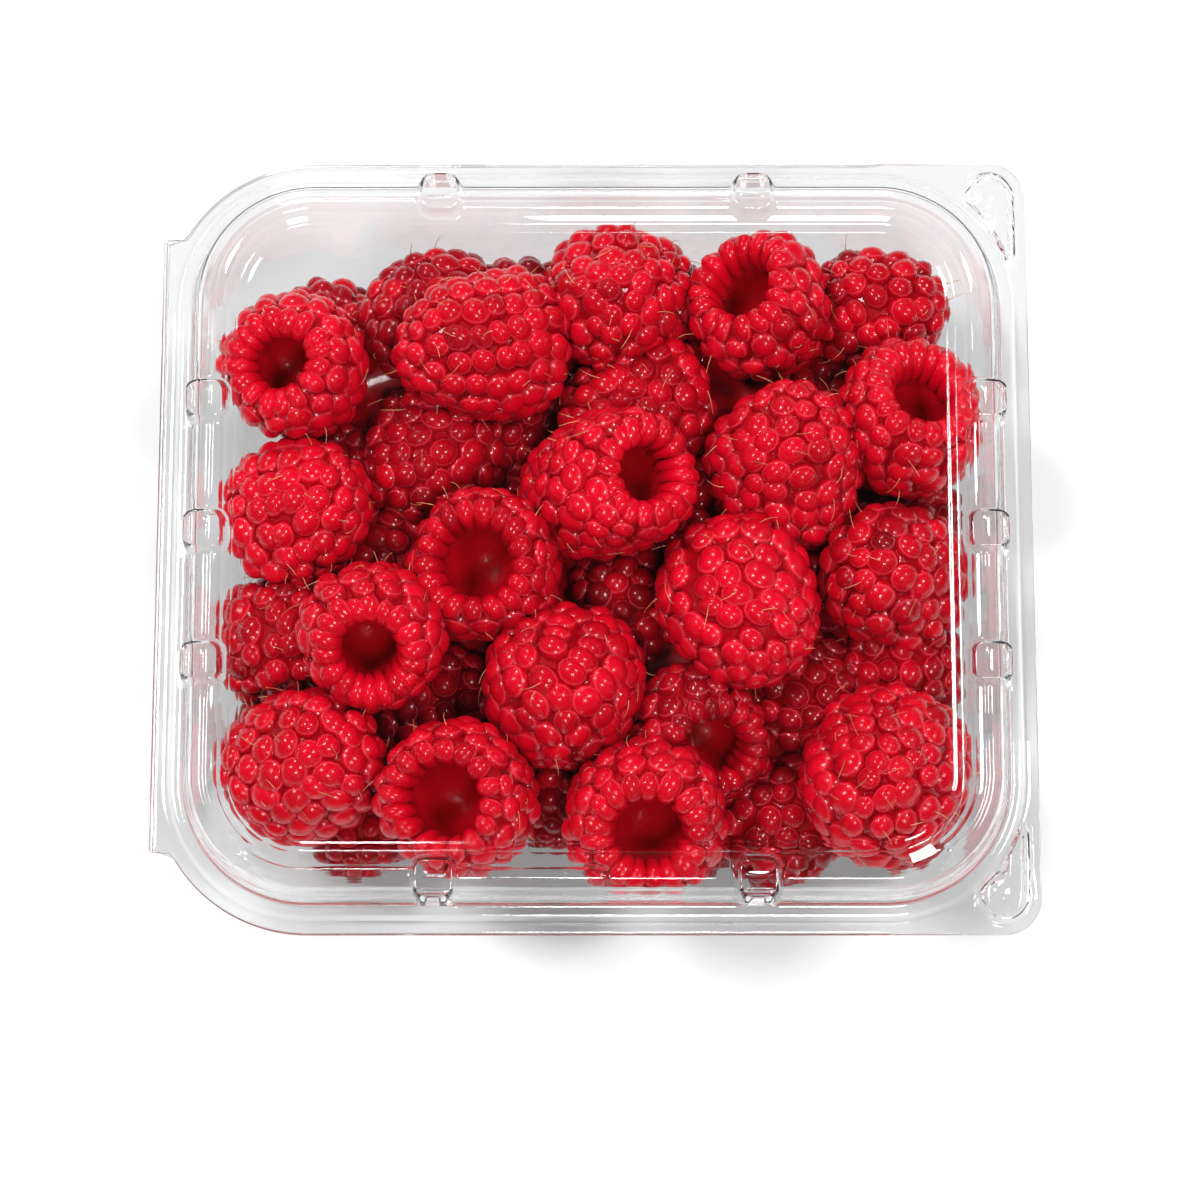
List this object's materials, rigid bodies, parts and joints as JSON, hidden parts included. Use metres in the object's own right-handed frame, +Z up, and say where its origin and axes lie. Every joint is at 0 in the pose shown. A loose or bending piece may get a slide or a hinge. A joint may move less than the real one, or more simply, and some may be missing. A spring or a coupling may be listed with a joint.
{
  "type": "punnet of raspberries",
  "caption": "Shallow clear plastic punnet with a snap-shut hinged lid, heaped to the lid with whole raspberries that show their stalk hollows.",
  "frame": {"origin": "middle of the pack's footprint, on the surface that it stands on", "axes": "+X from the hinge edge to the snap edge, +Y from the front to the back, +Z up through the lid"},
  "size_m": [0.1196, 0.1086, 0.0409],
  "materials": {
    "tray_plastic": "clear, colourless, glossy",
    "lid_plastic": "clear, colourless, glossy",
    "raspberry_flesh": "soft, juicy, lightly glossy beads"
  },
  "bodies": {
    "tray": {"tray": "tray_plastic", "raspberries": "raspberry_flesh"},
    "lid": {"lid": "lid_plastic"}
  },
  "joints": [
    {"name": "lid_hinge", "type": "hinge", "parent": "tray", "child": "lid", "pos_m": [-0.0598, 0, 0.03275], "axis": [0, -1, 0], "range_deg": [0, 180]}
  ]
}
